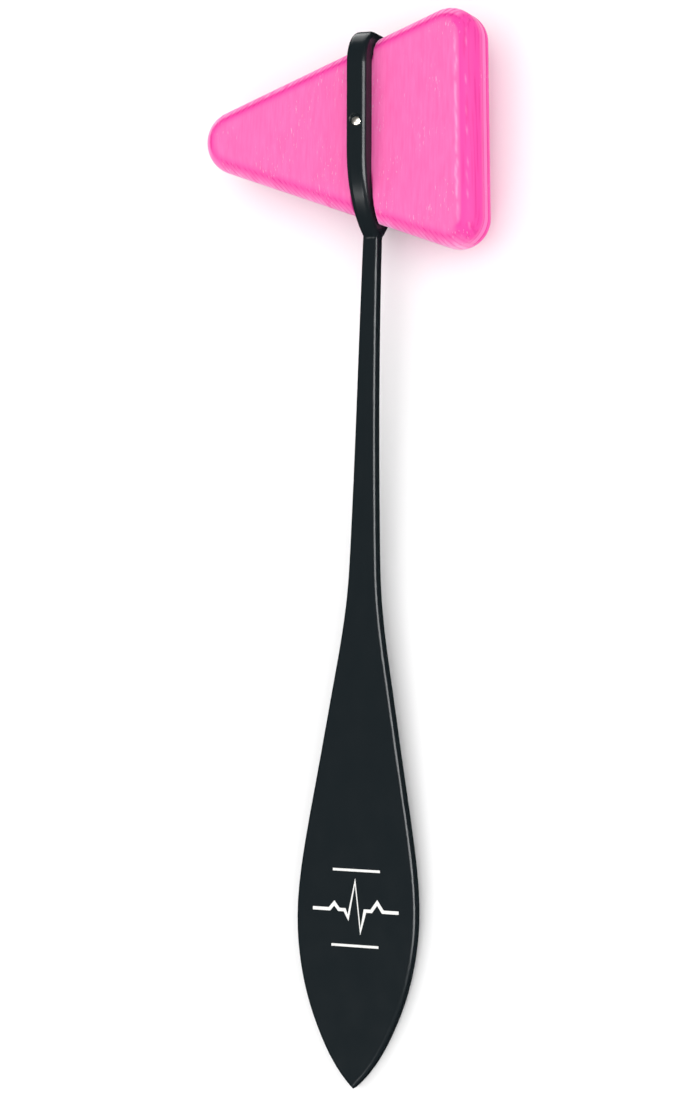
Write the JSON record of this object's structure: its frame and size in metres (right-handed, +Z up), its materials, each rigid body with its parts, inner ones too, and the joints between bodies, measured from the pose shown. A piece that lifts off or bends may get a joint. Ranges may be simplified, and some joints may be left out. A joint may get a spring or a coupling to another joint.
{
  "type": "reflex hammer",
  "caption": "Slim reflex hammer: triangular ribbed rubber head held in a closed loop at the end of a black metal handle that widens to a leaf-shaped, pointed blade.",
  "frame": {"origin": "middle of the hammer's own footprint, on the surface that it lies on", "axes": "+Y from the blade's tip towards the head, +X towards the head's broad base, +Z up out of the hammer's front face, which leans back by 2.8 degrees because the hammer rests on its loop and its tip"},
  "size_m": [0.0528, 0.1938, 0.0202],
  "materials": {
    "handle_coating": "smooth semi-gloss black coat over cast metal",
    "head_rubber": "satin moulded rubber with fine ribs running round the head",
    "pin_steel": "bright plain steel"
  },
  "bodies": {
    "root": {"handle": "handle_coating", "head": "head_rubber", "pin": "pin_steel"}
  },
  "joints": []
}
